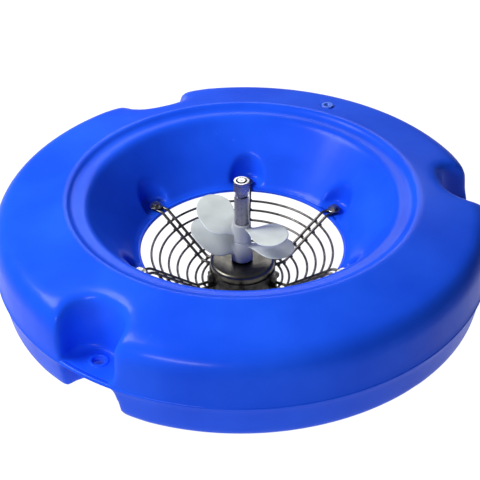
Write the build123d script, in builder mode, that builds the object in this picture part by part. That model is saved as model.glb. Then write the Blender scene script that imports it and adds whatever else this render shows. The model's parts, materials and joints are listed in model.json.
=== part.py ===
from build123d import *
from math import atan, cos, pi, radians, sin, sqrt, tan
import os

os.makedirs("parts", exist_ok=True)

# A floating impeller aerator for fish and shrimp ponds. A ring-shaped plastic float carries a
# wire guard. The guard carries a submersible motor, which stands upright in the float's mouth.
# Two propellers on the motor's long shaft throw the water up through the funnel of the float.
# The motor's foot is at height 0 and the shaft is the Z axis. Sizes are in millimetres.

# Float
motor_drop = 236.0       # foot of the motor to the float's underside
float_r = 430.0
float_h = 190.0
seam_h = 70.5            # parting plane above the underside
shoulder_h = 161.0       # outer top corner before it is rounded
shoulder_fillet = 40.0
lower_draft = 13.5       # the lower wall leans in by this much at the underside
lower_fillet = 17.0
flare_chamfer = 6.0
crown_r = 300.5          # inner edge of the top, the highest line of the float
shelf_h = 179.0
shelf_in_r = 270.0
riser_lean = 2.5
crown_chamfer = 3.0
riser_chamfer = 4.0
shelf_fillet = 16.0
throat_r = 180.0
ledge_w = 8.0
ledge_t = 6.0
underside_flare = 108.0   # the underside opens out from the ledge by this much
bead_out = 2.0
bead_t = 4.0

# Mooring notches
notch_azimuths = (8.5, 114.3, 234.0)
notch_w = 102.0
notch_depth = 68.0
notch_corner = 40.0
notch_draft = 3.0
web_t = 7.0
eye_hole_r = 11.0
eye_rim_r = 17.5
eye_rim_h = 3.5
eye_rim_chamfer = 1.5
eye_inset = 38.0         # eye's axis to the float's rim

# Filling plug of the float
plug_azimuth = 61.5
plug_r = 11.5
plug_from_axis = 346.0
plug_t = 9.0
plug_chamfer = 1.2
plug_key_r = 4.0
plug_key_depth = 4.0

# Guard
arm_azimuths = (31.0, 87.0, 143.0, 206.0, 267.0, 331.0)
arm_wire_r = 2.6
ring_wire_r = 2.1
wire_sides = 8
arm_half_gap = 7.0
arm_bolt_from_axis = 197.0
arm_bend_from_axis = 175.0
arm_kink_from_axis = 86.0
arm_foot_h = 9.0         # wire centre at the motor, above the float's underside
arm_bend_fillet = 12.0
ring_radii = (161.0, 146.5, 131.0, 116.0, 99.0, 84.0, 72.0)
weld_sink = 0.4
arm_end_sink = 1.0       # depth of the welds at the collar
pocket_r = 30.0
nib_azimuths = (22.0, 152.0)
nib_w = 6.0
nib_out = 5.0

# Arm bolts
bolt_r = 4.0
bolt_head_af = 13.0
bolt_head_h = 5.3
bolt_nut_h = 6.5
bolt_hole_play = 0.5
nut_play = 0.2
bolt_tail = 4.0          # thread left showing under the nut
washer_r = 12.0
washer_t = 2.0
washer_play = 0.3

# Motor
shell_r = 56.5
shell_wall = 2.5
cap_over_shell = 1.0
cap_rise = 43.0          # top of the cap above the float's underside
cap_rim_t = 10.0
cap_rim_fillet = 7.0
cap_spigot = 12.0
cap_boss_r = 31.0
base_t = 12.0
base_spigot = 12.0
base_boss_r = 27.0
base_chamfer = 4.0
spigot_play = 0.05
oring_r = 1.5
oring_up = 6.0           # ring's middle to the shell's end face
oring_play = 0.3
cap_bore_r = 13.0
cap_lip_t = 3.0
seal_seat_r = 19.0
seal_seat_t = 8.0
seal_pocket_r = 23.0
seal_seat_play = 0.5
seal_head_r = 20.0
seal_foot_r = 18.0
seal_head_foot = 8.0
seal_nose_r = 16.0
seal_nose_h = 3.0
seal_face_gap = 0.05
base_screw_r = 3.0
base_screw_play = 0.3
base_screw_count = 4
base_screw_inset = 10.0    # screw's axis to the shell's inner wall
base_screw_head_r = 5.0
base_screw_head_h = 3.5
base_screw_len = 22.0
base_screw_sunk = 1.0

# Collar that joins the guard to the motor
collar_t = 2.5
collar_low = -34.0       # heights above the float's underside
collar_high = 27.0
fin_t = 6.0
fin_reach = 9.0
fin_toe = 18.0
fin_toe_h = 14.0
ear_high = -2.0          # top of the ears, under the innermost ring
ear_t = 4.0
ear_w = 16.0
ear_gap = 6.0
ear_azimuth = 117.0
ear_bolt_r = 3.0
ear_bolt_inset = 8.0
ear_bolt_play = 0.3
ear_bolt_heights = (-27.0, -10.0)
ear_bolt_head_af = 10.0
ear_bolt_head_h = 4.0

# Shaft and what it carries
shaft_r = 9.0
rotor_shaft_r = 14.0
seal_shaft_r = 11.5
lower_bearing = (10.0, 21.0, 12.0)    # bore radius, outer radius, width
upper_bearing = (12.5, 26.0, 15.0)
lower_bearing_z = 24.0
upper_bearing_z = 229.0
race_play = 0.06
hub_base = 46.0          # underside of the lower hub above the float's underside
hub_h = 40.0
upper_hub_h = 36.5
hub_r = 16.0
hub_flare_r = 19.5
hub_bore_play = 0.03
sleeve_r = 13.0
sleeve_h = 56.5
bush_r = 10.9
bush_h = 8.0
spring_washer_h = 3.0
nut_af = 27.0
nut_h = 19.0
shaft_end_above_nut = 1.0
centre_drill_r = 2.6
centre_drill_depth = 5.0
end_float = 1.0
floor_relief = 1.5         # keeps the turning bearing ring off the floor of its pocket
shaft_chamfer = 1.2
nut_cone = 30.0
key_w = 5.0
key_h = 5.0

# Propeller blades
blade_tip_r = 94.0
blade_widest_r = 51.0
blade_half_chord = 44.0
blade_root_half_chord = 16.0
blade_pitch = 52.0
blade_rake = 0.20
blade_root_rise = 5.0      # blade's root above the middle of its hub
blade_sweep = 29.0         # how far the tip trails the blade's root
blade_root_t = 9.0
blade_tip_t = 3.5
edge_t = 1.8             # blade's thickness at its leading and trailing edges
blade_stations = (12.0, 24.0, 38.0, 51.0, 66.0, 80.0, 89.0, 93.3)
lower_blade_azimuth = -4.0
upper_blade_azimuth = -21.0

# Stator and rotor
core_bottom = 82.0
core_h = 105.0
stator_yoke = 11.0         # shell's inner wall to the bottoms of the slots
air_gap = 0.6
slot_count = 12
slot_w = 7.0
slot_depth = 12.0
slot_mouth = 0.5          # how far a slot's cut runs past the bore, so that it is open
slot_play = 0.3
end_turn_h = 22.0
end_turn_out = 6.0
end_turn_in = 1.0          # end turns to the stator's bore
shell_play = 0.05

# Cable gland
gland_z = 52.0
gland_azimuth = 90.0
gland_thread_r = 9.0
gland_len = 14.0
gland_nut_af = 24.0
gland_bore_r = 5.2
gland_seal_r = 7.4
gland_play = 0.2
gland_sink = 6.0
gland_flange_t = 4.0
gland_seal_len = 8.0
gland_nut_gap = 3.0
gland_nut_lip = 3.0
gland_nut_play = 0.05

# Fits worked out from the sizes above
seam_z = motor_drop + seam_h
ledge_low = seam_h - ledge_t / 2
ledge_high = seam_h + ledge_t / 2
lower_wall_r = throat_r + ledge_w
notch_in_r = float_r - notch_depth
eye_from_axis = float_r - eye_inset
top_fall = (float_h - shoulder_h) / (float_r - crown_r)
plug_face_z = motor_drop + float_h - (plug_from_axis - plug_r - crown_r) * top_fall
bolt_seat_z = motor_drop + ledge_high
arm_z = bolt_seat_z + arm_wire_r
washer_z = bolt_seat_z + 2 * arm_wire_r
bolt_head_z = washer_z + washer_t
nut_seat_z = motor_drop + ledge_low
slope = atan((arm_z - motor_drop - arm_foot_h) / (arm_bend_from_axis - arm_kink_from_axis))
collar_out_r = shell_r + collar_t
ear_face = ear_gap / 2 + ear_t
cap_top_z = motor_drop + cap_rise
cap_seat_z = cap_top_z - cap_rim_t
oring_heights = (cap_seat_z - oring_up, base_t + oring_up)
seal_face_z = cap_top_z - seal_seat_t - cap_lip_t - seal_face_gap
upper_bearing_top = upper_bearing_z + upper_bearing[2]
lower_bearing_top = lower_bearing_z + lower_bearing[2]
shell_in_r = shell_r - shell_wall
cap_r = shell_r + cap_over_shell
base_screw_from_axis = shell_in_r - base_screw_inset
stator_bore_r = shell_in_r - stator_yoke - slot_depth
spigot_r = shell_in_r - spigot_play
hub_z = motor_drop + hub_base
upper_hub_z = hub_z + hub_h
sleeve_z = upper_hub_z + upper_hub_h
bush_z = sleeve_z + sleeve_h
spring_washer_z = bush_z + bush_h
nut_z = spring_washer_z + spring_washer_h
shaft_top_z = nut_z + nut_h + shaft_end_above_nut


def section(z=0.0):
    """The XZ plane with its origin raised to z, for profiles turned about the shaft."""
    return Plane((0, 0, z), x_dir=(1, 0, 0), z_dir=(0, -1, 0))


def level(azimuth, z=0.0):
    """A level plane on the shaft's axis, with its X axis pointing out along an azimuth."""
    a = radians(azimuth)
    return Plane((0, 0, z), x_dir=(cos(a), sin(a), 0), z_dir=(0, 0, 1))


def upright(azimuth, z=0.0):
    """An upright plane through the shaft, with X outwards along an azimuth and Y up."""
    a = radians(azimuth)
    return Plane((0, 0, z), x_dir=(cos(a), sin(a), 0), z_dir=(sin(a), -cos(a), 0))


def facing_out(azimuth, z, radius):
    """An upright plane at a radius, with its normal pointing away from the shaft and Y up."""
    a = radians(azimuth)
    return Plane((radius * cos(a), radius * sin(a), z), x_dir=(-sin(a), cos(a), 0),
                 z_dir=(cos(a), sin(a), 0))


def nearest(sketch, x, y):
    """The corner of a section nearest to a point."""
    return sketch.vertices().sort_by_distance((x, y, 0))[0]


def save(piece, label):
    piece.part.label = label
    export_step(piece.part, f"parts/{label}.step")


def turned_ring(label, inner, outer, low, high):
    """A plain turned ring about the shaft."""
    with BuildPart() as ring:
        with BuildSketch(Plane.XY.offset(low)):
            Circle(outer)
            Circle(inner, mode=Mode.SUBTRACT)
        extrude(amount=high - low)
    save(ring, label)


def notch_plan():
    """Plan of a mooring notch, open at the float's rim and round at its inner end."""
    with Locations((notch_in_r + notch_depth, 0)):
        RectangleRounded(2 * notch_depth, notch_w, notch_corner)


def pocket_plan():
    """Plan of an arm pocket, round about the arm's bolt and open towards the throat."""
    inward = arm_bolt_from_axis - throat_r + ledge_w
    with Locations((arm_bolt_from_axis, 0)):
        Circle(pocket_r)
    with Locations((arm_bolt_from_axis - inward / 2, 0)):
        Rectangle(inward, 2 * pocket_r)


def wire_section(radius):
    """Section of a wire, with as many sides as keep it round to the eye."""
    RegularPolygon(radius, wire_sides, rotation=180 / wire_sides)


def at_arm_bolts():
    """The plan positions of the arm bolts."""
    return [(arm_bolt_from_axis * cos(radians(a)), arm_bolt_from_axis * sin(radians(a)))
            for a in arm_azimuths]


def arm_height(radius):
    """Height of an arm's wire above the float's underside, at a distance from the shaft."""
    return arm_foot_h + max(radius - arm_kink_from_axis, 0) * tan(slope)


def ring_height(radius):
    """Height of a ring's wire that is welded under the arms."""
    below = arm_wire_r + ring_wire_r - weld_sink
    lean = slope if radius > arm_kink_from_axis else 0.0
    return motor_drop + arm_height(radius - below * sin(lean)) - below * cos(lean)


# The float: one closed moulding, with a parting bead round its rim and a ledge in its throat
with BuildPart() as float_body:
    with BuildSketch(section(motor_drop)) as half_section:
        with BuildLine():
            Polyline(
                (lower_wall_r, ledge_low),
                (lower_wall_r + underside_flare, 0),
                (float_r - lower_draft, 0),
                (float_r, seam_h),
                (float_r, shoulder_h),
                (crown_r, float_h),
                (crown_r - riser_lean, shelf_h),
                (shelf_in_r, shelf_h),
                (lower_wall_r, ledge_high),
                close=True,
            )
        make_face()
        fillet(nearest(half_section, float_r, shoulder_h), shoulder_fillet)
        fillet(nearest(half_section, float_r - lower_draft, 0), lower_fillet)
        fillet(nearest(half_section, shelf_in_r, shelf_h), shelf_fillet)
        chamfer(nearest(half_section, lower_wall_r + underside_flare, 0), flare_chamfer)
        chamfer(nearest(half_section, crown_r, float_h), crown_chamfer)
        chamfer(nearest(half_section, crown_r - riser_lean, shelf_h), riser_chamfer)
        with Locations((float_r, seam_h)):
            Rectangle(2 * bead_out, bead_t)
    revolve(axis=Axis.Z)
    for azimuth in notch_azimuths:
        for side in (1, -1):
            with BuildSketch(level(azimuth, seam_z)):
                notch_plan()
            extrude(amount=side * float_h, taper=-notch_draft, mode=Mode.SUBTRACT)
    for azimuth in arm_azimuths:
        with BuildSketch(level(azimuth, bolt_seat_z)):
            pocket_plan()
        extrude(amount=float_h, mode=Mode.SUBTRACT)
        with BuildSketch(level(azimuth, nut_seat_z)):
            pocket_plan()
        extrude(amount=-float_h, mode=Mode.SUBTRACT)
    with BuildSketch(Plane.XY.offset(nut_seat_z)):
        Circle(lower_wall_r + ledge_w)
        Circle(throat_r, mode=Mode.SUBTRACT)
        for azimuth in nib_azimuths:
            a = radians(azimuth)
            with Locations(Location((throat_r * cos(a), throat_r * sin(a), 0), azimuth)):
                Rectangle(2 * nib_out, nib_w)
    extrude(amount=ledge_t)
    with BuildSketch(Plane.XY.offset(nut_seat_z)):
        with Locations(*at_arm_bolts()):
            Circle(bolt_r + bolt_hole_play)
    extrude(amount=ledge_t, mode=Mode.SUBTRACT)
    with BuildSketch(level(plug_azimuth, plug_face_z - plug_t)):
        with Locations((plug_from_axis, 0)):
            Circle(plug_r)
    extrude(amount=float_h, mode=Mode.SUBTRACT)
save(float_body, "float_body")

# Each notch holds a plate with the mooring eye, flush with the float's rim
for number, azimuth in enumerate(notch_azimuths, 1):
    with BuildPart() as web:
        with BuildSketch(level(azimuth, seam_z - web_t / 2)):
            notch_plan()
        extrude(amount=web_t)
        with BuildSketch(Plane.XY.offset(seam_z - web_t / 2)):
            Circle(float_r)
        extrude(amount=web_t, mode=Mode.INTERSECT)
        with BuildSketch(level(azimuth, seam_z)):
            with Locations((eye_from_axis, 0)):
                Circle(eye_rim_r)
        extrude(amount=web_t / 2 + eye_rim_h, both=True)
        for rim in (web.faces().sort_by(Axis.Z)[0], web.faces().sort_by(Axis.Z)[-1]):
            chamfer(rim.edges(), eye_rim_chamfer)
        with BuildSketch(level(azimuth, seam_z)):
            with Locations((eye_from_axis, 0)):
                Circle(eye_hole_r)
        extrude(amount=web_t / 2 + eye_rim_h, both=True, mode=Mode.SUBTRACT)
    save(web, f"mooring_web_{number}")

# Filling plug, screwed into a blind seat in the float's top
with BuildPart() as plug:
    with BuildSketch(level(plug_azimuth, plug_face_z)):
        with Locations((plug_from_axis, 0)):
            Circle(plug_r)
    extrude(amount=-plug_t)
    chamfer(plug.faces().sort_by(Axis.Z)[-1].edges(), plug_chamfer)
    with BuildSketch(level(plug_azimuth, plug_face_z)):
        with Locations((plug_from_axis, 0)):
            RegularPolygon(plug_key_r, 6)
    extrude(amount=-plug_key_depth, mode=Mode.SUBTRACT)
save(plug, "filling_plug")

# Seven wire rings, welded under the arms, numbered from the outermost
for number, radius in enumerate(ring_radii, 1):
    with BuildPart() as ring:
        with BuildSketch(section()):
            with Locations((radius, ring_height(radius))):
                wire_section(ring_wire_r)
        revolve(axis=Axis.Z)
    save(ring, f"guard_ring_{number}")

# Six arms, each one wire bent round its bolt, with both ends welded to the motor's collar
side_run = (
    (collar_out_r - arm_end_sink, arm_foot_h),
    (arm_kink_from_axis, arm_foot_h),
    (arm_bend_from_axis, arm_z - motor_drop),
    (arm_bolt_from_axis, arm_z - motor_drop),
)
out_run = [(x, y, arm_half_gap) for x, y in side_run]
back_run = [(x, y, -arm_half_gap) for x, y in reversed(side_run)]
round_bolt = (arm_bolt_from_axis + arm_half_gap, arm_z - motor_drop, 0)
for number, azimuth in enumerate(arm_azimuths, 1):
    with BuildPart() as arm:
        with BuildLine(upright(azimuth, motor_drop)):
            FilletPolyline(*out_run, radius=arm_bend_fillet)
            ThreePointArc(out_run[-1], round_bolt, back_run[0])
            FilletPolyline(*back_run, radius=arm_bend_fillet)
        with BuildSketch(facing_out(azimuth, motor_drop + arm_foot_h, side_run[0][0])):
            with Locations((-arm_half_gap, 0)):
                wire_section(arm_wire_r)
        sweep()
    save(arm, f"guard_arm_{number}")

# Washer, bolt and nut of each arm
with BuildPart() as arm_washers:
    with BuildSketch(Plane.XY.offset(washer_z)):
        with Locations(*at_arm_bolts()):
            Circle(washer_r)
            Circle(bolt_r + washer_play, mode=Mode.SUBTRACT)
    extrude(amount=washer_t)
save(arm_washers, "arm_washers")

with BuildPart() as arm_bolts:
    with BuildSketch(Plane.XY.offset(bolt_head_z)):
        with Locations(*at_arm_bolts()):
            RegularPolygon(bolt_head_af / 2, 6, major_radius=False)
    extrude(amount=bolt_head_h)
    with BuildSketch(Plane.XY.offset(bolt_head_z)):
        with Locations(*at_arm_bolts()):
            Circle(bolt_r)
    extrude(amount=-(bolt_head_z - nut_seat_z + bolt_nut_h + bolt_tail))
save(arm_bolts, "arm_bolts")

with BuildPart() as arm_nuts:
    with BuildSketch(Plane.XY.offset(nut_seat_z)):
        with Locations(*at_arm_bolts()):
            RegularPolygon(bolt_head_af / 2, 6, major_radius=False)
            Circle(bolt_r + nut_play, mode=Mode.SUBTRACT)
    extrude(amount=-bolt_nut_h)
save(arm_nuts, "arm_nuts")

# Collar: a split band with a fin under each arm and two clamping ears
with BuildPart() as collar:
    with BuildSketch(Plane.XY.offset(motor_drop + collar_low)):
        Circle(collar_out_r)
        Circle(shell_r, mode=Mode.SUBTRACT)
    extrude(amount=collar_high - collar_low)
    with BuildSketch(level(ear_azimuth, motor_drop + collar_low)):
        with Locations((collar_out_r + ear_w / 2 - collar_t / 2, 0)):
            Rectangle(ear_w + collar_t, ear_gap + 2 * ear_t)
    extrude(amount=ear_high - collar_low)
    with BuildSketch(level(ear_azimuth, motor_drop + collar_low)):
        with Locations((collar_out_r, 0)):
            Rectangle(3 * ear_w, ear_gap)
    extrude(amount=collar_high - collar_low, mode=Mode.SUBTRACT)
    for azimuth in arm_azimuths:
        with BuildSketch(upright(azimuth, motor_drop)):
            with BuildLine():
                Polyline(
                    (shell_r + collar_t / 2, collar_high),
                    (collar_out_r + fin_reach, collar_high),
                    (collar_out_r + fin_reach, fin_toe_h / 2 + collar_low / 2),
                    (collar_out_r + fin_toe, collar_low / 2),
                    (collar_out_r + fin_toe, collar_low / 2 - fin_toe_h / 2),
                    (collar_out_r + fin_reach / 3, collar_low),
                    (shell_r + collar_t / 2, collar_low),
                    close=True,
                )
            make_face()
        extrude(amount=fin_t / 2, both=True)
    for height in ear_bolt_heights:
        with BuildSketch(upright(ear_azimuth, motor_drop)):
            with Locations((collar_out_r + ear_bolt_inset, height)):
                Circle(ear_bolt_r + ear_bolt_play)
        extrude(amount=ear_face, both=True, mode=Mode.SUBTRACT)
save(collar, "motor_collar")

with BuildPart() as collar_bolts:
    for height in ear_bolt_heights:
        with BuildSketch(upright(ear_azimuth, motor_drop)):
            with Locations((collar_out_r + ear_bolt_inset, height)):
                Circle(ear_bolt_r)
        extrude(amount=ear_face + ear_bolt_head_h, both=True)
        for side in (1, -1):
            with BuildSketch(upright(ear_azimuth, motor_drop).offset(side * ear_face)):
                with Locations((collar_out_r + ear_bolt_inset, height)):
                    RegularPolygon(ear_bolt_head_af / 2, 6, major_radius=False)
            extrude(amount=side * ear_bolt_head_h)
save(collar_bolts, "collar_bolts")

# Motor shell, a plain tube between the cap and the base
with BuildPart() as motor_shell:
    with BuildSketch(Plane.XY.offset(base_t)):
        Circle(shell_r)
        Circle(shell_in_r, mode=Mode.SUBTRACT)
    extrude(amount=cap_seat_z - base_t)
    with BuildSketch(facing_out(gland_azimuth, gland_z, shell_in_r - shell_wall)):
        Circle(gland_thread_r + gland_play)
    extrude(amount=3 * shell_wall, mode=Mode.SUBTRACT)
save(motor_shell, "motor_shell")


def oring_groove():
    """Section of the groove that a seal ring fills, cut into a spigot's side."""
    depth = oring_r * 2 + oring_play
    Rectangle(2 * depth, oring_r * 2 + 2 * oring_play, mode=Mode.SUBTRACT)


# Cap: a rounded rim, a spigot in the shell, and a boss that holds the upper bearing and the seal
with BuildPart() as motor_cap:
    with BuildSketch(section()) as cap_section:
        with BuildLine():
            Polyline(
                (cap_bore_r, cap_top_z),
                (cap_r, cap_top_z),
                (cap_r, cap_seat_z),
                (spigot_r, cap_seat_z),
                (spigot_r, cap_seat_z - cap_spigot),
                (cap_boss_r, cap_seat_z - cap_spigot),
                (cap_boss_r, upper_bearing_z),
                (upper_bearing[1], upper_bearing_z),
                (upper_bearing[1], upper_bearing_top),
                (seal_pocket_r, upper_bearing_top),
                (seal_pocket_r, cap_top_z - seal_seat_t - cap_lip_t),
                (seal_seat_r, cap_top_z - seal_seat_t - cap_lip_t),
                (seal_seat_r, cap_top_z - cap_lip_t),
                (cap_bore_r, cap_top_z - cap_lip_t),
                close=True,
            )
        make_face()
        fillet(nearest(cap_section, cap_r, cap_top_z), cap_rim_fillet)
        with Locations((spigot_r, cap_seat_z - oring_up)):
            oring_groove()
    revolve(axis=Axis.Z)
save(motor_cap, "motor_cap")

# Base: the foot of the machine, with the pocket of the lower bearing
with BuildPart() as motor_base:
    with BuildSketch(section()) as base_section:
        with BuildLine():
            Polyline(
                (0, 0),
                (cap_r, 0),
                (cap_r, base_t),
                (spigot_r, base_t),
                (spigot_r, base_t + base_spigot),
                (base_boss_r, base_t + base_spigot),
                (base_boss_r, lower_bearing_top),
                (lower_bearing[1], lower_bearing_top),
                (lower_bearing[1], lower_bearing_z),
                (sum(lower_bearing[:2]) / 2, lower_bearing_z),
                (sum(lower_bearing[:2]) / 2, lower_bearing_z - floor_relief),
                (0, lower_bearing_z - floor_relief),
                close=True,
            )
        make_face()
        chamfer(nearest(base_section, cap_r, 0), base_chamfer)
        with Locations((spigot_r, base_t + oring_up)):
            oring_groove()
    revolve(axis=Axis.Z)
    with BuildSketch():
        with PolarLocations(base_screw_from_axis, base_screw_count):
            Circle(base_screw_r)
    extrude(amount=base_screw_len, mode=Mode.SUBTRACT)
    with BuildSketch():
        with PolarLocations(base_screw_from_axis, base_screw_count):
            Circle(base_screw_head_r + base_screw_play)
    extrude(amount=base_screw_head_h + base_screw_sunk, mode=Mode.SUBTRACT)
save(motor_base, "motor_base")

# Two seal rings in the grooves of the spigots, squeezed against the shell
with BuildPart() as shell_orings:
    with BuildSketch(section()):
        with Locations(*[(shell_in_r - oring_r, height) for height in oring_heights]):
            RegularPolygon(oring_r, wire_sides, major_radius=False)
    revolve(axis=Axis.Z)
save(shell_orings, "shell_orings")

# Sealed ball bearings: the outer ring stays in the housing and the inner ring turns
for place, bearing, bearing_z in (
    ("upper", upper_bearing, upper_bearing_z),
    ("lower", lower_bearing, lower_bearing_z),
):
    bore, outside, width = bearing
    middle = (bore + outside) / 2
    turned_ring(f"{place}_bearing_outer_ring", middle + race_play, outside, bearing_z,
                bearing_z + width)
    turned_ring(f"{place}_bearing_inner_ring", bore, middle - race_play, bearing_z,
                bearing_z + width)

# Mechanical seal: a seat pressed into the cap, and a sprung face that turns with the shaft
turned_ring("seal_seat", seal_shaft_r + seal_seat_play, seal_seat_r, cap_top_z - seal_seat_t - cap_lip_t,
            cap_top_z - cap_lip_t)
with BuildPart() as seal_head:
    with BuildSketch(section()):
        with BuildLine():
            Polyline(
                (seal_shaft_r, upper_bearing_top),
                (seal_foot_r, upper_bearing_top),
                (seal_foot_r, upper_bearing_top + seal_head_foot),
                (seal_head_r, upper_bearing_top + seal_head_foot),
                (seal_head_r, seal_face_z - seal_nose_h),
                (seal_nose_r, seal_face_z - seal_nose_h),
                (seal_nose_r, seal_face_z),
                (seal_shaft_r, seal_face_z),
                close=True,
            )
        make_face()
    revolve(axis=Axis.Z)
save(seal_head, "seal_head")

# Stator: a slotted core in the shell, and a winding with a bar in every slot
stator_r = shell_in_r - shell_play
with BuildPart() as stator_core:
    with BuildSketch(Plane.XY.offset(core_bottom)):
        Circle(stator_r)
        Circle(stator_bore_r, mode=Mode.SUBTRACT)
        with PolarLocations(stator_bore_r + slot_depth / 2, slot_count):
            Rectangle(slot_depth + 2 * slot_mouth, slot_w, mode=Mode.SUBTRACT)
    extrude(amount=core_h)
save(stator_core, "stator_core")

with BuildPart() as stator_winding:
    with BuildSketch(Plane.XY.offset(core_bottom - end_turn_h)):
        with PolarLocations(stator_bore_r + slot_depth / 2 + slot_play, slot_count):
            Rectangle(slot_depth - 2 * slot_play, slot_w - 2 * slot_play)
    extrude(amount=core_h + 2 * end_turn_h)
    for low in (core_bottom - end_turn_h, core_bottom + core_h + slot_play):
        with BuildSketch(Plane.XY.offset(low)):
            Circle(stator_bore_r + slot_depth + end_turn_out)
            Circle(stator_bore_r + end_turn_in, mode=Mode.SUBTRACT)
        extrude(amount=end_turn_h - slot_play)
save(stator_winding, "stator_winding")

# Rotor core, shrunk on the shaft
turned_ring("rotor_core", rotor_shaft_r, stator_bore_r - air_gap, core_bottom, core_bottom + core_h)

# Shaft: journals, the seal's seat, and the long end that carries the propellers
with BuildPart() as shaft:
    with BuildSketch(section()) as shaft_section:
        with BuildLine():
            Polyline(
                (0, lower_bearing_z + end_float),
                (lower_bearing[0], lower_bearing_z + end_float),
                (lower_bearing[0], lower_bearing_top),
                (rotor_shaft_r, lower_bearing_top),
                (rotor_shaft_r, upper_bearing_z),
                (upper_bearing[0], upper_bearing_z),
                (upper_bearing[0], upper_bearing_top),
                (seal_shaft_r, upper_bearing_top),
                (seal_shaft_r, hub_z),
                (shaft_r, hub_z),
                (shaft_r, shaft_top_z),
                (0, shaft_top_z),
                close=True,
            )
        make_face()
        chamfer(nearest(shaft_section, shaft_r, shaft_top_z), shaft_chamfer)
    revolve(axis=Axis.Z)
    with BuildSketch(section()):
        with BuildLine():
            Polyline((0, shaft_top_z), (centre_drill_r, shaft_top_z),
                     (0, shaft_top_z - centre_drill_depth), close=True)
        make_face()
    revolve(axis=Axis.Z, mode=Mode.SUBTRACT)
    with BuildSketch(Plane.XY.offset(hub_z)):
        with Locations((shaft_r, 0)):
            Rectangle(key_h, key_w)
    extrude(amount=hub_h + upper_hub_h, mode=Mode.SUBTRACT)
save(shaft, "shaft")

with BuildPart() as drive_key:
    with BuildSketch(Plane.XY.offset(hub_z)):
        with Locations((shaft_r, 0)):
            Rectangle(key_h, key_w)
    extrude(amount=hub_h + upper_hub_h)
save(drive_key, "drive_key")


def blade_half_width(radius):
    """Half the blade's width at a distance from the shaft, wide in the middle and round at the tip."""
    if radius < blade_widest_r:
        share = (radius - hub_r) / (blade_widest_r - hub_r)
        swell = sin(share * pi / 2) if share > 0 else 0.0
        return blade_root_half_chord + (blade_half_chord - blade_root_half_chord) * swell
    share = (radius - blade_widest_r) / (blade_tip_r - blade_widest_r)
    return blade_half_chord * sqrt(max(1 - share ** 2, 0))


def blade_section_plane(azimuth, radius, root_z):
    """Plane across the blade at a radius: X runs along the chord from the trailing edge down
    to the leading edge, and the normal points outwards."""
    a = radians(azimuth)
    pitch_angle = atan(blade_pitch / (2 * pi * radius))
    along = (-sin(a) * cos(pitch_angle), cos(a) * cos(pitch_angle), -sin(pitch_angle))
    height = root_z + blade_rake * (radius - hub_r)
    return Plane((radius * cos(a), radius * sin(a), height), x_dir=along, z_dir=(cos(a), sin(a), 0))


def propeller(label, azimuth, low, height, flare):
    """A two-bladed propeller: a keyed hub, and two broad blades lofted through lens sections."""
    with BuildPart() as wheel:
        with BuildSketch(section()):
            with BuildLine():
                Polyline((0, low), (hub_r + flare, low), (hub_r, low + height), (0, low + height),
                         close=True)
            make_face()
        revolve(axis=Axis.Z)
        root_z = low + height / 2 + blade_root_rise
        for turn in (0, 180):
            for radius in blade_stations:
                share = (radius - blade_stations[0]) / (blade_tip_r - blade_stations[0])
                half_t = (blade_root_t + (blade_tip_t - blade_root_t) * share) / 2
                middle = -blade_sweep * share
                back = middle - blade_half_width(radius)
                front = middle + blade_half_width(radius)
                with BuildSketch(blade_section_plane(azimuth + turn, radius, root_z)):
                    with BuildLine():
                        ThreePointArc((back, edge_t / 2), (middle, half_t), (front, edge_t / 2))
                        Line((front, edge_t / 2), (front, -edge_t / 2))
                        ThreePointArc((front, -edge_t / 2), (middle, -half_t), (back, -edge_t / 2))
                        Line((back, -edge_t / 2), (back, edge_t / 2))
                    make_face()
            loft()
        with BuildSketch(Plane.XY.offset(low)):
            Circle(shaft_r + hub_bore_play)
            with Locations((shaft_r, 0)):
                Rectangle(key_h + 2 * hub_bore_play, key_w + 2 * hub_bore_play)
        extrude(amount=height, mode=Mode.SUBTRACT)
    save(wheel, label)


propeller("lower_propeller", lower_blade_azimuth, hub_z, hub_h, hub_flare_r - hub_r)
propeller("upper_propeller", upper_blade_azimuth, upper_hub_z, upper_hub_h, 0)

# What clamps the hubs: a polished sleeve, a short bush, a spring washer and the nut
turned_ring("shaft_sleeve", shaft_r + hub_bore_play, sleeve_r, sleeve_z, bush_z)
turned_ring("clamp_bush", shaft_r + hub_bore_play, bush_r, bush_z, spring_washer_z)
turned_ring("spring_washer", shaft_r + hub_bore_play, bush_r, spring_washer_z, nut_z)
with BuildPart() as lock_nut:
    with BuildSketch(Plane.XY.offset(nut_z)):
        RegularPolygon(nut_af / 2, 6, major_radius=False)
        Circle(shaft_r + hub_bore_play, mode=Mode.SUBTRACT)
    extrude(amount=nut_h)
    with BuildSketch(section()):
        with BuildLine():
            Polyline((nut_af / 2, nut_z + nut_h), (nut_af, nut_z + nut_h),
                     (nut_af, nut_z + nut_h - nut_af / 2 * tan(radians(nut_cone))), close=True)
        make_face()
    revolve(axis=Axis.Z, mode=Mode.SUBTRACT)
save(lock_nut, "lock_nut")

# Screws that hold the base to the pads inside the shell
with BuildPart() as base_screws:
    with BuildSketch(Plane.XY.offset(base_screw_sunk)):
        with PolarLocations(base_screw_from_axis, base_screw_count):
            Circle(base_screw_head_r)
    extrude(amount=base_screw_head_h)
    with BuildSketch(Plane.XY.offset(base_screw_sunk)):
        with PolarLocations(base_screw_from_axis, base_screw_count):
            Circle(base_screw_r)
    extrude(amount=base_screw_len - base_screw_sunk)
save(base_screws, "base_screws")

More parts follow.
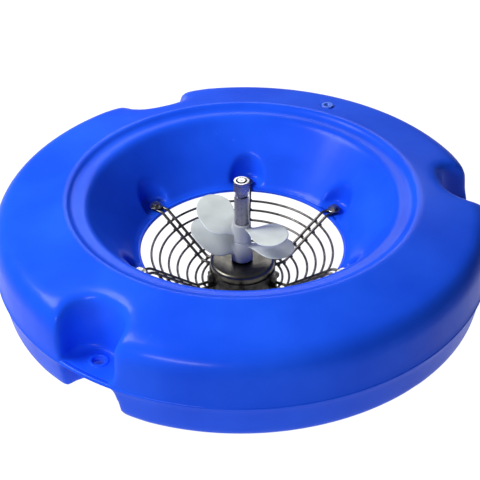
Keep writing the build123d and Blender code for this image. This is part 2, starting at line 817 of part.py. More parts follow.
# Cable gland in the shell's side, with its cap nut and rubber seal
gland_face_r = shell_r + gland_flange_t
with BuildPart() as gland_body:
    with BuildSketch(facing_out(gland_azimuth, gland_z, shell_in_r)):
        RegularPolygon(gland_nut_af / 2, 6, major_radius=False)
    extrude(amount=gland_face_r - shell_in_r)
    with BuildSketch():
        Circle(shell_r)
    extrude(amount=cap_top_z, mode=Mode.SUBTRACT)
    with BuildSketch(facing_out(gland_azimuth, gland_z, shell_r - gland_sink)):
        Circle(gland_thread_r)
    extrude(amount=gland_sink + gland_flange_t + gland_len)
    with BuildSketch(facing_out(gland_azimuth, gland_z, shell_r - gland_sink)):
        Circle(gland_bore_r + gland_play)
    extrude(amount=gland_sink + gland_flange_t + gland_len - gland_seal_len, mode=Mode.SUBTRACT)
    with BuildSketch(facing_out(gland_azimuth, gland_z, gland_face_r + gland_len - gland_seal_len)):
        Circle(gland_seal_r)
    extrude(amount=gland_seal_len, mode=Mode.SUBTRACT)
save(gland_body, "gland_body")

with BuildPart() as gland_seal:
    with BuildSketch(facing_out(gland_azimuth, gland_z, gland_face_r + gland_len - gland_seal_len)):
        Circle(gland_seal_r)
        Circle(gland_bore_r, mode=Mode.SUBTRACT)
    extrude(amount=gland_seal_len)
save(gland_seal, "gland_seal")

with BuildPart() as gland_nut:
    with BuildSketch(facing_out(gland_azimuth, gland_z, gland_face_r + gland_nut_gap)):
        RegularPolygon(gland_nut_af / 2, 6, major_radius=False)
    extrude(amount=gland_len - gland_nut_gap + gland_nut_lip)
    with BuildSketch(facing_out(gland_azimuth, gland_z, gland_face_r + gland_nut_gap)):
        Circle(gland_thread_r + gland_nut_play)
    extrude(amount=gland_len - gland_nut_gap, mode=Mode.SUBTRACT)
    with BuildSketch(facing_out(gland_azimuth, gland_z, gland_face_r + gland_len)):
        Circle(gland_bore_r)
    extrude(amount=gland_nut_lip, mode=Mode.SUBTRACT)
save(gland_nut, "gland_nut")
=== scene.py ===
# %% [markdown]
# # A floating pond aerator
# A blue moulded ring floats on a fish pond. A dished wire guard in its mouth carries an upright
# motor, and the motor's long shaft turns two broad propellers that throw the water up and out.
# The rigid model is already there as a frame, in metres. This lesson gives every visible piece
# its finish, and rebuilds the pieces whose soft edges the rigid model leaves out.

import json
from math import cos, pi, radians, sin, tau

import bmesh
import bpy
from mathutils import Matrix, Vector


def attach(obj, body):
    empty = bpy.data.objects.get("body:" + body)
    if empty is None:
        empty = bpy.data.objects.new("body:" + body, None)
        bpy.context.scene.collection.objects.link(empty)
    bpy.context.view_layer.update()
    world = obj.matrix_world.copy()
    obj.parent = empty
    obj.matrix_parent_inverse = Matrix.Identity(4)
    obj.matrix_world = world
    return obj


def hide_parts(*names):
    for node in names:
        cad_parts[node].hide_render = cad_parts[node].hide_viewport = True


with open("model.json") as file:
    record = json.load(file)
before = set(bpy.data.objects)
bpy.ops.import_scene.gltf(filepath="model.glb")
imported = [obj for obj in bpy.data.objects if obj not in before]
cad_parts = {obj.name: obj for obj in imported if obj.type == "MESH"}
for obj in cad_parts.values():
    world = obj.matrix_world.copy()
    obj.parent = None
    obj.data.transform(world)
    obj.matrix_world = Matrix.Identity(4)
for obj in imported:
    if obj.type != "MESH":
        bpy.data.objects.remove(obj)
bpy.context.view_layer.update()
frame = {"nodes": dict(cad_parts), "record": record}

# %% [markdown]
# ## Camera
# The photograph looks down on the float from the front, from about two and a half metres away.
# A long lens keeps the ring's ellipse nearly even. The camera is aimed with a tracking quaternion
# and then rolled by less than a degree, because the real camera wasn't quite level.

# %% Camera at the photograph's angle
eye = Vector((-0.0034, -2.096, 1.797))
aim = Vector((-0.0034, 0.0, 0.3435))
camera_roll = radians(-0.652)
photo_px = 480
focal_px = 1451.2
sensor_mm = 36.0
axis_row_px = 229.1

lens = bpy.data.cameras.new("camera")
lens.sensor_width = sensor_mm
lens.lens = focal_px / photo_px * sensor_mm
lens.shift_y = (axis_row_px - photo_px / 2) / photo_px
camera = bpy.data.objects.new("camera", lens)
bpy.context.scene.collection.objects.link(camera)
aimed = (aim - eye).to_track_quat("-Z", "Y").to_matrix()
camera.matrix_world = Matrix.Translation(eye) @ (aimed @ Matrix.Rotation(camera_roll, 3, "Z")).to_4x4()
bpy.context.scene.camera = camera
bpy.context.scene.view_settings.view_transform = "Standard"
print("lens", round(lens.lens, 1), "mm")

# %% [markdown]
# ## Floor and light
# The photograph is a cut-out on white, so the floor is a white light table: it is pale and glows,
# which keeps it white in the float's own shadow and lights the float's lower side. The key light
# is a large softbox, up and to the left. A second one at the back right washes over the top, and a
# long low strip in front draws the bright line along the float's shoulder.

# %% Light table
floor_size = 400.0
floor_mesh = bpy.data.meshes.new("floor")
plate = bmesh.new()
bmesh.ops.create_grid(plate, x_segments=1, y_segments=1, size=floor_size / 2)
plate.to_mesh(floor_mesh)
plate.free()
floor = bpy.data.objects.new("floor", floor_mesh)
bpy.context.scene.collection.objects.link(floor)
floor_finish = bpy.data.materials.new("light_table")
floor_finish.use_nodes = True
glow = floor_finish.node_tree.nodes["Principled BSDF"]
glow.inputs["Base Color"].default_value = (0.12, 0.12, 0.12, 1.0)
glow.inputs["Roughness"].default_value = 0.9
glow.inputs["Specular IOR Level"].default_value = 0.0
glow.inputs["Emission Color"].default_value = (1.0, 1.0, 1.0, 1.0)
table = floor_finish.node_tree
spot = table.nodes.new("ShaderNodeTexCoord")
away = table.nodes.new("ShaderNodeVectorMath")
away.operation = "DISTANCE"
away.inputs[1].default_value = (0.0, 0.85, 0.0)
table.links.new(spot.outputs["Object"], away.inputs[0])
fade = table.nodes.new("ShaderNodeMapRange")
fade.interpolation_type = "SMOOTHSTEP"
table.links.new(away.outputs["Value"], fade.inputs["Value"])
for name, value in (("From Min", 1.15), ("From Max", 1.9), ("To Min", 1.0), ("To Max", 0.42)):
    fade.inputs[name].default_value = value
table.links.new(fade.outputs["Result"], glow.inputs["Emission Strength"])
floor_mesh.materials.append(floor_finish)

studio = bpy.data.worlds.new("studio")
studio.use_nodes = True
studio.node_tree.nodes["Background"].inputs["Color"].default_value = (1.0, 1.0, 1.0, 1.0)
studio.node_tree.nodes["Background"].inputs["Strength"].default_value = 0.10
bpy.context.scene.world = studio


# %% Softboxes
def softbox(label, place, target, width, height, watts):
    """A rectangular area light at a place, facing a target."""
    lamp = bpy.data.lights.new(label, "AREA")
    lamp.shape = "RECTANGLE"
    lamp.size = width
    lamp.size_y = height
    lamp.energy = watts
    stand = bpy.data.objects.new(label, lamp)
    bpy.context.scene.collection.objects.link(stand)
    facing = (Vector(target) - Vector(place)).to_track_quat("-Z", "Y").to_matrix().to_4x4()
    stand.matrix_world = Matrix.Translation(Vector(place)) @ facing
    stand.visible_camera = False
    return stand


middle = (0.0, 0.0, 0.35)
softbox("key", (-1.6, 0.1, 2.1), middle, 1.0, 1.0, 61)
softbox("back_wash", (0.3, 2.7, 2.0), middle, 2.2, 0.8, 28)
softbox("front_strip", (-1.25, -2.5, 1.5), middle, 1.2, 0.22, 38)
print("three softboxes and a glowing floor")


# %% [markdown]
# ## Helpers
# Every finished piece is one mesh object at the origin that rides on a body of the frame. Three
# helpers cover them all: one turns a bmesh into such a piece, one welds a copy of a rigid node,
# and one melts a piece, which means it is rebuilt from small cubes and smoothed. Melting rounds all
# of the edges at once, as a mould does.

# %% Turn a bmesh into a piece of the object
def piece_from(shape, label, body, finish, smooth=True):
    """Makes an object of a bmesh, gives it a finish and lets it ride on a body."""
    mesh = bpy.data.meshes.new(label)
    for face in shape.faces:
        face.smooth = smooth
    shape.to_mesh(mesh)
    shape.free()
    piece = bpy.data.objects.new(label, mesh)
    bpy.context.scene.collection.objects.link(piece)
    mesh.materials.append(finish)
    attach(piece, body)
    return piece


def settled(piece):
    """Applies a piece's modifiers to its mesh."""
    bpy.context.view_layer.update()
    graph = bpy.context.evaluated_depsgraph_get()
    mesh = bpy.data.meshes.new_from_object(piece.evaluated_get(graph))
    piece.modifiers.clear()
    piece.data = mesh
    print(piece.name, "has", len(mesh.polygons), "faces")
    return piece


def welded_copy(*nodes):
    """A bmesh with copies of rigid nodes, whose loose triangles are merged."""
    shape = bmesh.new()
    for node in nodes:
        shape.from_mesh(frame["nodes"][node].data)
    bmesh.ops.remove_doubles(shape, verts=shape.verts, dist=2e-6)
    return shape


def melt(piece, cube, passes):
    """Rebuilds a piece from small cubes and smooths it, which rounds all of its edges."""
    voxels = piece.modifiers.new("voxels", "REMESH")
    voxels.mode = "VOXEL"
    voxels.voxel_size = cube
    voxels.use_smooth_shade = True
    soften = piece.modifiers.new("soften", "SMOOTH")
    soften.factor = 0.5
    soften.iterations = passes
    return settled(piece)


# %% Shapes turned about an upright axis
def turned(profile, steps, centre=(0.0, 0.0)):
    """A closed turned shape: the profile is a closed loop of (radius, height) points."""
    shape = bmesh.new()
    loop = [shape.verts.new((centre[0] + r, centre[1], z)) for r, z in profile]
    edges = [shape.edges.new((a, b)) for a, b in zip(loop, loop[1:] + loop[:1])]
    bmesh.ops.spin(shape, geom=loop + edges, cent=(*centre, 0), axis=(0, 0, 1), angle=tau,
                   steps=steps, use_merge=True)
    bmesh.ops.remove_doubles(shape, verts=shape.verts, dist=1e-6)
    bmesh.ops.recalc_face_normals(shape, faces=shape.faces)
    return shape


# %% [markdown]
# ## Finishes
# Each finish is one short function that returns a material. The patterns read Object coordinates,
# so they are measured in metres and stay put when a piece turns. A helper adds a node and wires its
# inputs, and single colours and numbers are set straight on the shader.

# %% Node helpers
def new_finish(label, colour, roughness, metallic=0.0):
    """A Principled material with one colour, and its node tree."""
    finish = bpy.data.materials.new(label)
    finish.use_nodes = True
    shader = finish.node_tree.nodes["Principled BSDF"]
    shader.inputs["Base Color"].default_value = (*colour, 1.0)
    shader.inputs["Roughness"].default_value = roughness
    shader.inputs["Metallic"].default_value = metallic
    return finish, finish.node_tree, shader


def add(tree, kind, inputs=(), **settings):
    """Adds a node, with its settings and its inputs: each input is a value or an output socket."""
    node = tree.nodes.new(kind)
    for name, value in settings.items():
        setattr(node, name, value)
    for name, value in dict(inputs).items():
        if isinstance(value, bpy.types.NodeSocket):
            tree.links.new(value, node.inputs[name])
        else:
            node.inputs[name].default_value = value
    return node


def object_place(tree, stretch=(1.0, 1.0, 1.0)):
    """Object coordinates, stretched along the axes."""
    where = add(tree, "ShaderNodeTexCoord").outputs["Object"]
    return add(tree, "ShaderNodeMapping", {"Vector": where, "Scale": stretch}).outputs["Vector"]


def noise(tree, place, scale, detail=2.0, roughness=0.5):
    """The grey value of a noise whose lumps are about one over scale metres."""
    return add(tree, "ShaderNodeTexNoise", {"Vector": place, "Scale": scale, "Detail": detail,
                                            "Roughness": roughness}).outputs["Fac"]


def spread(tree, value, low, high, to_low=0.0, to_high=1.0):
    """Maps a grey value's range to another range."""
    return add(tree, "ShaderNodeMapRange", {"Value": value, "From Min": low, "From Max": high,
                                            "To Min": to_low, "To Max": to_high}).outputs["Result"]


def mixed(tree, share, first, second):
    """Blends two colours by a share."""
    node = add(tree, "ShaderNodeMix", data_type="RGBA")
    for socket, value in ((node.inputs["Factor"], share), (node.inputs[6], first), (node.inputs[7], second)):
        if isinstance(value, bpy.types.NodeSocket):
            tree.links.new(value, socket)
        elif isinstance(value, tuple):
            socket.default_value = (*value, 1.0)
        else:
            socket.default_value = value
    return node.outputs[2]


def bumped(tree, shader, height, depth, strength=1.0, under=None):
    """Adds relief to a shader from a grey value, on top of an earlier relief."""
    inputs = {"Height": height, "Distance": depth, "Strength": strength}
    if under is not None:
        inputs["Normal"] = under
    relief = add(tree, "ShaderNodeBump", inputs).outputs["Normal"]
    tree.links.new(relief, shader.inputs["Normal"])
    return relief


# %% [markdown]
# ### Blue float plastic
# Blow-moulded polyethylene has a soft sheen, a fine orange-peel skin, and long shallow waves where
# the wall has shrunk unevenly. Handling leaves pale hairlines and slightly chalky patches. The
# waves and the skin are bumps of two sizes, and the scuffs are a thin slice of a stretched noise.

# %% Float plastic
def float_plastic():
    finish, tree, shader = new_finish("float_plastic", (0.009, 0.085, 0.80), 0.36)
    shader.inputs["Specular IOR Level"].default_value = 0.04
    shader.inputs["Coat Weight"].default_value = 0.12
    shader.inputs["Coat Roughness"].default_value = 0.2
    place = object_place(tree)
    cloudy = spread(tree, noise(tree, place, 7.0, 3.0), 0.35, 0.65)
    body = mixed(tree, cloudy, (0.007, 0.074, 0.78), (0.012, 0.098, 0.88))
    streaks = noise(tree, object_place(tree, (30.0, 6.0, 30.0)), 1.6, 4.0, 0.6)
    scuffs = spread(tree, streaks, 0.70, 0.76, 0.0, 0.22)
    colour = mixed(tree, scuffs, body, (0.10, 0.24, 0.88))
    tree.links.new(colour, shader.inputs["Base Color"])
    patches = spread(tree, noise(tree, place, 18.0, 4.0), 0.3, 0.7, 0.33, 0.43)
    tree.links.new(patches, shader.inputs["Roughness"])
    waves = bumped(tree, shader, noise(tree, place, 11.0, 1.0), 0.003, 0.35)
    bumped(tree, shader, noise(tree, place, 900.0, 2.0), 0.00015, 0.35, waves)
    return finish


# %% [markdown]
# ### Steels
# The guard is drawn wire with a fine bumpy skin and brown tarnish. The motor and the shaft are turned on a
# lathe, so their tool marks are rings about the axis. A ring pattern needs only the distance from the axis and
# the height, so the noise reads those two numbers.

# %% Drawn and turned steel
def tarnished_steel(label, colour, stain, roughness, scale):
    finish, tree, shader = new_finish(label, colour, roughness, 1.0)
    place = object_place(tree)
    cloud = spread(tree, noise(tree, place, scale, 4.0, 0.6), 0.42, 0.66)
    tree.links.new(mixed(tree, cloud, colour, stain), shader.inputs["Base Color"])
    rough = spread(tree, noise(tree, place, scale * 4, 3.0), 0.3, 0.7, roughness - 0.08, roughness + 0.1)
    tree.links.new(rough, shader.inputs["Roughness"])
    bumped(tree, shader, noise(tree, place, 1500.0, 2.0), 0.00006, 0.3)
    return finish


def turned_steel(label, colour, stain, roughness, depth=0.00004, painted_shade_rings=()):
    """Turned steel. Each pair of radii in painted_shade_rings bounds a ring about the axis that is painted near
    black, as painted shade of a hole or gap that is not cut.
    """
    finish, tree, shader = new_finish(label, colour, roughness, 1.0)
    place = object_place(tree)
    apart = add(tree, "ShaderNodeSeparateXYZ", {"Vector": place})
    flat = add(tree, "ShaderNodeCombineXYZ", {"X": apart.outputs["X"], "Y": apart.outputs["Y"]})
    radius = add(tree, "ShaderNodeVectorMath", {0: flat.outputs["Vector"]}, operation="LENGTH")
    lathe = add(tree, "ShaderNodeCombineXYZ", {"X": radius.outputs["Value"], "Y": apart.outputs["Z"]})
    rings = noise(tree, lathe.outputs["Vector"], 1400.0, 3.0, 0.7)
    cloud = spread(tree, noise(tree, place, 45.0, 4.0), 0.4, 0.7)
    colours = mixed(tree, cloud, colour, stain)
    # Each ring between a pair of radii is painted near black: painted shade standing in for a drilled hole, a
    # thread gap or a bore.
    for low, high in painted_shade_rings:
        above = spread(tree, radius.outputs["Value"], low, low + 0.0003)
        below = spread(tree, radius.outputs["Value"], high, high - 0.0003)
        inside = add(tree, "ShaderNodeMath", {0: above, 1: below}, operation="MULTIPLY").outputs["Value"]
        colours = mixed(tree, inside, colours, (0.006, 0.006, 0.009))
    tree.links.new(colours, shader.inputs["Base Color"])
    tree.links.new(spread(tree, rings, 0.3, 0.7, roughness - 0.06, roughness + 0.08), shader.inputs["Roughness"])
    bumped(tree, shader, rings, depth, 0.4)
    return finish


# %% [markdown]
# ### The other finishes
# The propellers are moulded in a milky nylon that lets a little light in. Rubber, ceramic, copper
# and the core's steel are inside the motor and only show when it is opened, and are simple.

# %% Nylon, rubber and the inner materials
def milky_nylon():
    finish, tree, shader = new_finish("propeller_plastic", (0.42, 0.46, 0.455), 0.4)
    shader.inputs["Subsurface Weight"].default_value = 0.25
    shader.inputs["Subsurface Radius"].default_value = (1.0, 0.9, 0.8)
    shader.inputs["Subsurface Scale"].default_value = 0.004
    place = object_place(tree)
    cloud = spread(tree, noise(tree, place, 28.0, 4.0), 0.35, 0.7)
    blade = mixed(tree, cloud, (0.56, 0.61, 0.60), (0.46, 0.50, 0.495))
    apart = add(tree, "ShaderNodeSeparateXYZ", {"Vector": place})
    flat = add(tree, "ShaderNodeCombineXYZ", {"X": apart.outputs["X"], "Y": apart.outputs["Y"]})
    radius = add(tree, "ShaderNodeVectorMath", {0: flat.outputs["Vector"]}, operation="LENGTH")
    # The blades are made darker towards the hub and towards the bottom, over the lower propeller.
    at_hub = spread(tree, radius.outputs["Value"], 0.034, 0.018)
    low_down = spread(tree, apart.outputs["Z"], 0.345, 0.285, 0.0, 0.9)
    darker_low = mixed(tree, low_down, blade, (0.26, 0.27, 0.275))
    tree.links.new(mixed(tree, at_hub, darker_low, (0.36, 0.38, 0.39)), shader.inputs["Base Color"])
    flow = bumped(tree, shader, noise(tree, place, 40.0, 2.0), 0.001, 0.3)
    bumped(tree, shader, noise(tree, place, 1100.0, 1.0), 0.00008, 0.3, flow)
    return finish


def grainy(label, colour, second, roughness, metallic=0.0, scale=300.0):
    """A plain material with a fine mottle, for pieces that are seldom seen."""
    finish, tree, shader = new_finish(label, colour, roughness, metallic)
    place = object_place(tree)
    mottle = spread(tree, noise(tree, place, scale, 3.0), 0.35, 0.65)
    tree.links.new(mixed(tree, mottle, colour, second), shader.inputs["Base Color"])
    bumped(tree, shader, noise(tree, place, scale * 3, 2.0), 0.00008, 0.3)
    return finish


finishes = {
    "float_plastic": float_plastic(),
    "plug_plastic": grainy("plug_plastic", (0.03, 0.14, 0.75), (0.02, 0.11, 0.66), 0.4),
    "guard_wire": tarnished_steel("guard_wire", (0.15, 0.14, 0.125), (0.05, 0.045, 0.04), 0.36, 60.0),
    "fastener_steel": tarnished_steel("fastener_steel", (0.44, 0.425, 0.40), (0.17, 0.16, 0.14), 0.30, 90.0),
    "collar_steel": tarnished_steel("collar_steel", (0.085, 0.08, 0.075), (0.03, 0.03, 0.03), 0.42, 50.0),
    "motor_steel": turned_steel("motor_steel", (0.12, 0.113, 0.095), (0.06, 0.057, 0.048), 0.32),
    # The shaft's and the nut's steels are tinted slightly blue in their colour: painted reflection of the blue
    # float, on top of the steel's own grey and its real reflections.
    "shaft_steel": turned_steel("shaft_steel", (0.25, 0.25, 0.31), (0.18, 0.18, 0.23), 0.26, 0.000005),
    # The shaft's end and the nut's top carry near-black rings of painted shade where a drilled centre, a thread
    # gap and a bore would lie.
    "shaft_end": turned_steel("shaft_end", (0.62, 0.62, 0.62), (0.5, 0.5, 0.5), 0.28,
                              painted_shade_rings=((-0.001, 0.0018), (0.0064, 0.0099))),
    "nut_steel": turned_steel("nut_steel", (0.42, 0.42, 0.46), (0.2, 0.2, 0.24), 0.26, 0.000005,
                              painted_shade_rings=((0.0, 0.0101),)),
    "bearing_steel": turned_steel("bearing_steel", (0.62, 0.62, 0.63), (0.5, 0.5, 0.5), 0.15),
    "propeller_plastic": milky_nylon(),
    "seal_rubber": grainy("seal_rubber", (0.014, 0.014, 0.014), (0.03, 0.03, 0.03), 0.55),
    "seal_ceramic": grainy("seal_ceramic", (0.78, 0.77, 0.72), (0.7, 0.69, 0.64), 0.25),
    "core_steel": grainy("core_steel", (0.10, 0.10, 0.11), (0.05, 0.05, 0.06), 0.5, 1.0),
    "winding_copper": grainy("winding_copper", (0.50, 0.17, 0.06), (0.36, 0.11, 0.04), 0.35, 1.0),
    "gland_brass": grainy("gland_brass", (0.52, 0.50, 0.42), (0.42, 0.40, 0.33), 0.3, 1.0),
}
for row in frame["record"]["subparts"]:
    mesh = frame["nodes"][row["node"]].data
    mesh.materials.clear()
    mesh.materials.append(finishes[row["material_slot"]])
print(len(finishes), "finishes")

# %% [markdown]
# ## Float
# The real float and its mooring plates come out of one mould, so every corner between wall, notch
# and plate is round. Bevelling a cut ring edge by edge would be slow and fragile. Here copies of
# the float and the plates are melted together, which gives the soft corners in one step.

# %% Float and mooring plates as one moulding
float_cube = 0.0046
float_passes = 8
plates = ("mooring_web_1", "mooring_web_2", "mooring_web_3")
float_shell = piece_from(welded_copy("float_body", *plates), "float_moulding", "housing",
                         finishes["float_plastic"])
melt(float_shell, float_cube, float_passes)
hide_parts("float_body", *plates)

# %% [markdown]
# The walls of a notch run into the float's top, side and underside in a much larger round than
# anywhere else. A weight per vertex marks the neighbourhood of each notch's walls, and smoothing
# only there makes that round. The plate in the middle of the notch has no weight and stays crisp.

# %% Wide rounds at the notches
eye_azimuths = (8.5, 114.3, 234.0)
rim_r = 0.430
seam_z = 0.3065
notch_inner_r = 0.362
notch_half_w = 0.051
notch_passes = 72


def ramp(value, low, high):
    """Rises from 0 to 1 between two values."""
    return min(max((value - low) / (high - low), 0.0), 1.0)


def near_notch(place):
    """How close a place is to the edges of a mooring notch, from 0 to 1."""
    best = 0.0
    for azimuth in eye_azimuths:
        a = radians(azimuth)
        out = place.x * cos(a) + place.y * sin(a)
        across = abs(-place.x * sin(a) + place.y * cos(a))
        if out < notch_inner_r - 0.05 or across > notch_half_w + 0.06:
            continue
        level = ramp(place.z - seam_z, 0.010, 0.030) + 0.35 * ramp(seam_z - place.z, 0.010, 0.030)
        inner = ramp(out, notch_inner_r - 0.045, notch_inner_r - 0.015)
        side = 1.0 - ramp(across, notch_half_w + 0.02, notch_half_w + 0.055)
        best = max(best, level * inner * side)
    return best


def soften_where(piece, weigh, passes):
    """Smooths a piece only where a function of the place says so."""
    group = piece.vertex_groups.new(name="soft")
    for vertex in piece.data.vertices:
        weight = weigh(vertex.co)
        if weight > 0.01:
            group.add([vertex.index], weight, "REPLACE")
    soften = piece.modifiers.new("soften", "SMOOTH")
    soften.vertex_group = "soft"
    soften.factor = 0.5
    soften.iterations = passes
    return settled(piece)


soften_where(float_shell, near_notch, notch_passes)


# %% [markdown]
# The parting line of the mould is a narrow bead round the rim and along the outer edges of the
# plates. The throat's ledge ends in a rounded lip. Both are too slim to melt well, so each is
# turned as a ring of its own. Each eye has a raised ring above and below its plate.

# %% Parting bead and throat lip
bead_half = ((0.4240, 0.0035), (0.4292, 0.0035), (0.4306, 0.0024), (0.4318, 0.0010))
lip_half = ((0.1880, 0.0032), (0.1812, 0.0032), (0.1801, 0.0026), (0.1796, 0.0012))
for label, half in (("parting_bead", bead_half), ("throat_lip", lip_half)):
    loop = [(r, seam_z + z) for r, z in half] + [(r, seam_z - z) for r, z in reversed(half)]
    piece_from(turned(loop, 240), label, "housing", finishes["float_plastic"])

# %% Eye rings
eye_r = 0.392
eye_loop = ((0.0111, 0.0068), (0.0122, 0.0071), (0.0150, 0.0071), (0.0166, 0.0064), (0.0173, 0.0050),
            (0.0176, 0.0036), (0.0190, 0.0030), (0.0190, 0.0), (0.0111, 0.0))
for number, azimuth in enumerate(eye_azimuths):
    a = radians(azimuth)
    for side, label in ((1, "upper"), (-1, "lower")):
        ring = turned([(r, seam_z + side * z) for r, z in eye_loop], 40, (eye_r * cos(a), eye_r * sin(a)))
        piece_from(ring, f"eye_ring_{number + 1}_{label}", "housing", finishes["float_plastic"])

# %% Filling plug, turned with a round recess in its top
plug_a = radians(61.5)
plug_r = 0.346
plug_place = (plug_r * cos(plug_a), plug_r * sin(plug_a))
plug_top = max(v.co.z for v in frame["nodes"]["filling_plug"].data.vertices)
plug_loop = ((0.0046, plug_top), (0.0098, plug_top), (0.0108, plug_top - 0.0004), (0.0113, plug_top - 0.0016),
             (0.0113, plug_top - 0.009), (0.0, plug_top - 0.009), (0.0, plug_top - 0.0040),
             (0.0046, plug_top - 0.0040))
plug = piece_from(turned(plug_loop, 48, plug_place), "filling_plug_turned", "housing",
                  finishes["plug_plastic"])
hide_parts("filling_plug")

# %% [markdown]
# ## Guard
# The rigid wires have eight sides. Here the rings are turned from round sections and the arms are
# round wire that follows the same bends. A small lump of weld sits wherever an arm crosses a ring.

# %% Rings of the guard
lift = 0.236
ring_wire_r = 0.0021
arm_wire_r = 0.0026
wire_points = 12


def ring_place(node):
    """Radius and height of a ring's wire, read from its rigid node."""
    spots = [v.co for v in frame["nodes"][node].data.vertices]
    outside = max(s.to_2d().length for s in spots)
    inside = min(s.to_2d().length for s in spots)
    return (outside + inside) / 2, (max(s.z for s in spots) + min(s.z for s in spots)) / 2


def round_section(radius, height, wire):
    """A round wire section as (radius, height) points."""
    return [(radius + wire * cos(tau * k / wire_points), height + wire * sin(tau * k / wire_points))
            for k in range(wire_points)]


ring_places = [ring_place(f"guard_ring_{number}") for number in range(1, 8)]
for number, (radius, height) in enumerate(ring_places, 1):
    hoop = piece_from(turned(round_section(radius, height, ring_wire_r), 120), f"guard_ring_{number}_wire",
                      "housing", finishes["guard_wire"])
    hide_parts(f"guard_ring_{number}")
print("seven rings at", [(round(r, 3), round(h, 3)) for r, h in ring_places])


# %% Arms of the guard
def rounded_run(corners, bend):
    """A path of points through corners, with each inner corner rounded by a bend radius."""
    run = [corners[0]]
    for before, corner, after in zip(corners, corners[1:], corners[2:]):
        back = (before - corner).normalized()
        ahead = (after - corner).normalized()
        half = back.angle(ahead) / 2
        reach = bend * cos(half) / sin(half)
        centre = corner + (back + ahead).normalized() * bend / sin(half)
        first = corner + back * reach - centre
        last = corner + ahead * reach - centre
        for k in range(7):
            run.append(centre + first.slerp(last, k / 6).normalized() * bend)
    run.append(corners[-1])
    return run


arm_azimuths = (31.0, 87.0, 143.0, 206.0, 267.0, 331.0)
half_gap = 0.007
arm_top = 0.0735 + arm_wire_r
side_corners = [Vector((x, 0, z)) for x, z in ((0.058, 0.009), (0.086, 0.009), (0.175, arm_top),
                                               (0.197, arm_top))]
side_run = rounded_run(side_corners, 0.012)
arm_run = [p + Vector((0, -half_gap, 0)) for p in side_run]
arm_run += [Vector((0.197 + half_gap * sin(pi * k / 10), -half_gap * cos(pi * k / 10), arm_top))
            for k in range(1, 10)]
arm_run += [p + Vector((0, half_gap, 0)) for p in reversed(side_run)]


def wire_along(path, radius, label):
    """Round wire along a path of points, as a bmesh."""
    curve = bpy.data.curves.new(label, "CURVE")
    curve.dimensions = "3D"
    curve.bevel_depth = radius
    curve.bevel_resolution = 2
    curve.use_fill_caps = True
    line = curve.splines.new("POLY")
    line.points.add(len(path) - 1)
    for point, place in zip(line.points, path):
        point.co = (*place, 1.0)
    holder = bpy.data.objects.new(label, curve)
    shape = bmesh.new()
    shape.from_mesh(holder.to_mesh())
    holder.to_mesh_clear()
    bpy.data.objects.remove(holder)
    bmesh.ops.remove_doubles(shape, verts=shape.verts, dist=1e-6)
    return shape


for number, azimuth in enumerate(arm_azimuths, 1):
    turn = Matrix.Translation((0, 0, lift)) @ Matrix.Rotation(radians(azimuth), 4, "Z")
    shape = wire_along([turn @ p for p in arm_run], arm_wire_r, f"arm_{number}")
    for radius, height in ring_places:
        for side in (1, -1):
            spot = turn @ Vector((radius + 0.0006, side * half_gap, height - lift + ring_wire_r * 0.9))
            tilt = Matrix.Translation(spot) @ Matrix.Rotation(radians(azimuth), 4, "Z")
            lump = tilt @ Matrix.Diagonal((1.0, 1.5, 0.62, 1.0))
            bmesh.ops.create_icosphere(shape, subdivisions=2, radius=0.0031, matrix=lump)
    arm = piece_from(shape, f"guard_arm_{number}_wire", "housing", finishes["guard_wire"])
    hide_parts(f"guard_arm_{number}")

# %% [markdown]
# ### Bolts of the guard
# A bought bolt has a hexagon head whose corners are cut by a cone, and a washer has rolled edges.
# The nuts below are the same hexagon. All six sets are copies of one set.

# %% Bolt, washer and nut
def hexagon(flats, low, high, corner_cut, turn=0.0):
    """A hexagon prism whose top and bottom corners are cut by a cone."""
    shape = bmesh.new()
    bmesh.ops.create_cone(shape, cap_ends=True, segments=48, radius1=flats * 0.577, radius2=flats * 0.577,
                          depth=high - low, matrix=Matrix.Translation((0, 0, (low + high) / 2)))
    rims = [e for e in shape.edges if abs(e.verts[0].co.z - e.verts[1].co.z) < 1e-7]
    bmesh.ops.bevel(shape, geom=rims, offset=corner_cut, segments=2, profile=0.5, affect="EDGES")
    for k in range(6):
        a = tau * k / 6 + turn
        outward = Vector((cos(a), sin(a), 0))
        cut = bmesh.ops.bisect_plane(shape, geom=shape.verts[:] + shape.edges[:] + shape.faces[:],
                                     dist=1e-6, plane_co=outward * flats / 2, plane_no=outward,
                                     clear_outer=True)
        rim = [g for g in cut["geom_cut"] if isinstance(g, bmesh.types.BMEdge)]
        bmesh.ops.holes_fill(shape, edges=rim)
    bmesh.ops.recalc_face_normals(shape, faces=shape.faces)
    return shape


bolt_r = 0.004
washer_low = lift + arm_top + arm_wire_r
head_low = washer_low + 0.002
ledge_low = lift + 0.0675


def merge_into(target, shape, place):
    """Adds a copy of a bmesh to another one, moved by a matrix, and frees it."""
    mesh = bpy.data.meshes.new("copy")
    shape.to_mesh(mesh)
    shape.free()
    mesh.transform(place)
    target.from_mesh(mesh)
    bpy.data.meshes.remove(mesh)


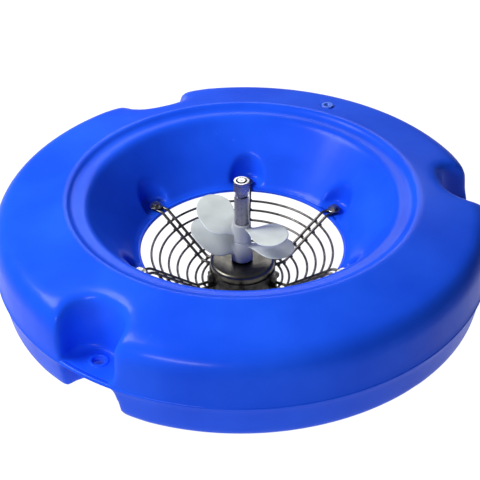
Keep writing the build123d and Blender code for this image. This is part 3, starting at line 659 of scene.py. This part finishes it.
def at_bolts(make, label, node):
    """Six copies of a shape, one at each arm's bolt, as one piece instead of a rigid node."""
    shape = bmesh.new()
    for azimuth in arm_azimuths:
        place = Matrix.Rotation(radians(azimuth), 4, "Z") @ Matrix.Translation((0.197, 0, 0))
        merge_into(shape, make(), place)
    made = piece_from(shape, label, "housing", finishes["fastener_steel"], smooth=False)
    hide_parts(node)


def bolt_shape():
    shape = hexagon(0.013, head_low, head_low + 0.0053, 0.0010, pi / 6)
    stem = ((0.0, ledge_low - 0.0105), (bolt_r - 0.0006, ledge_low - 0.0105), (bolt_r, ledge_low - 0.0098),
            (bolt_r, head_low + 0.0005), (0.0, head_low + 0.0005))
    merge_into(shape, turned(stem, 24), Matrix())
    return shape


def washer_shape():
    low, high = washer_low, head_low
    loop = ((bolt_r + 0.0003, low), (0.0116, low), (0.012, low + 0.0004), (0.012, high - 0.0005),
            (0.0115, high), (bolt_r + 0.0003, high))
    return turned(loop, 48)


def nut_shape():
    return hexagon(0.013, ledge_low - 0.0065, ledge_low, 0.0010, pi / 6)


at_bolts(bolt_shape, "arm_bolts_hexagon", "arm_bolts")
at_bolts(washer_shape, "arm_washers_turned", "arm_washers")
at_bolts(nut_shape, "arm_nuts_hexagon", "arm_nuts")

# %% [markdown]
# ## Shaft and nut
# The nut's top is a bright chamfer with the shaft's end inside it. The nut is the same hexagon as the bolts'
# heads; its bore, the thread gap and the shaft end's drilled centre are not cut but are near-black rings of
# painted shade in the finishes.

# %% Lock nut
nut_spots = [v.co for v in frame["nodes"]["lock_nut"].data.vertices]
nut_low, nut_high = min(s.z for s in nut_spots), max(s.z for s in nut_spots)
nut_turn = 0.0
nut_body = hexagon(0.027, nut_low, nut_high, 0.0024, nut_turn)
nut = piece_from(nut_body, "lock_nut_hexagon", "rotor", finishes["nut_steel"], smooth=False)
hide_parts("lock_nut")
frame["nodes"]["shaft"].data.materials[0] = finishes["shaft_end"]

# %% [markdown]
# ## Propellers
# A moulded blade has a rounded rim and a fillet where it meets the hub. The rigid blades have blunt
# edges and a sharp joint, so each propeller is melted too, from much smaller cubes.

# %% Propellers
blade_cube = 0.0011
blade_passes = 8
for node in ("lower_propeller", "upper_propeller"):
    wheel = piece_from(welded_copy(node), f"{node}_moulding", "rotor",
                       finishes["propeller_plastic"])
    melt(wheel, blade_cube, blade_passes)
    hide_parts(node)
